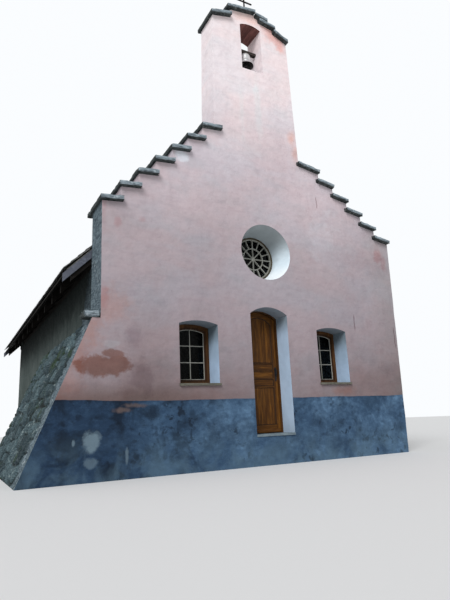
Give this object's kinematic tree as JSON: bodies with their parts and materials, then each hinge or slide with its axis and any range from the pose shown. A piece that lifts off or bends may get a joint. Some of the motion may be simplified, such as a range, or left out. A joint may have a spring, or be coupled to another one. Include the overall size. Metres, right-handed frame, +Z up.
{
  "type": "small chapel",
  "caption": "Small chapel with a rendered stepped front, a bell gable with a swinging bell, an opening door, a round window and a shingled nave roof.",
  "frame": {"origin": "on the ground in the middle of the nave, on the axis of the stepped front, at the lowest ground level that the walls reach", "axes": "+Z up; +Y into the building from the front; +X to the right along the front"},
  "size_m": [8.432, 11.324, 10.7969],
  "materials": {
    "stucco": "rough lime render, pink wash over a slate blue dado",
    "limewash": "rough lime plaster, grey white",
    "rubble_stone": "grey rubble stone with lichen",
    "slab_stone": "dark split schist",
    "larch_shingle": "weathered grey larch",
    "roof_timber": "sawn and weathered",
    "door_timber": "honey brown varnish",
    "sash_paint": "pale oil paint",
    "pane": "clear window glass",
    "sill_paint": "painted cement sill",
    "forged_iron": "black forged iron",
    "bell_metal": "weathered cast bell metal",
    "stock_timber": "weathered grey oak"
  },
  "bodies": {
    "root": {"bell_bearings": "forged_iron", "buttress": "rubble_stone", "buttress_capstone": "rubble_stone", "door_frame": "door_timber", "door_pintles": "forged_iron", "door_threshold": "rubble_stone", "eaves_blocking": "roof_timber", "front_gable": "stucco", "front_wall_left": "stucco", "front_wall_right": "stucco", "front_wall_sill": "stucco", "nave_floor": "rubble_stone", "nave_wall_left": "limewash", "nave_wall_right": "limewash", "oculus_frame": "door_timber", "oculus_glass": "pane", "oculus_wheel": "sash_paint", "rafters": "roof_timber", "rear_wall": "limewash", "ridge_beam": "roof_timber", "roof_boards_left": "roof_timber", "roof_boards_right": "roof_timber", "roof_covering_left": "larch_shingle", "roof_covering_right": "larch_shingle", "roof_cross": "forged_iron", "step_slabs_left": "slab_stone", "step_slabs_right": "slab_stone", "tower_head": "stucco", "tower_pier_left": "stucco", "tower_pier_right": "stucco", "tower_ridge_slab": "slab_stone", "tower_shaft": "stucco", "tower_slabs_left": "slab_stone", "tower_slabs_right": "slab_stone", "verge_boards": "roof_timber", "wall_plates": "roof_timber", "window_frame_left": "door_timber", "window_frame_right": "door_timber", "window_glass_left": "pane", "window_glass_right": "pane", "window_sash_left": "door_timber", "window_sash_right": "door_timber", "window_sills": "sill_paint"},
    "door": {"door_leaf": "door_timber", "door_weatherboard": "door_timber", "door_straps": "forged_iron", "door_lock": "forged_iron"},
    "bell": {"bell": "bell_metal", "bell_clapper": "bell_metal", "bell_headstock": "stock_timber"}
  },
  "joints": [
    {"name": "door_hinge", "type": "hinge", "parent": "root", "child": "door", "pos_m": [-0.41, -4.918, 1.5], "axis": [0, 0, 1], "range_deg": [0, 95]},
    {"name": "bell_swing", "type": "hinge", "parent": "root", "child": "bell", "pos_m": [0, -5.1265, 9.114], "axis": [1, 0, 0], "range_deg": [-45, 45]}
  ]
}
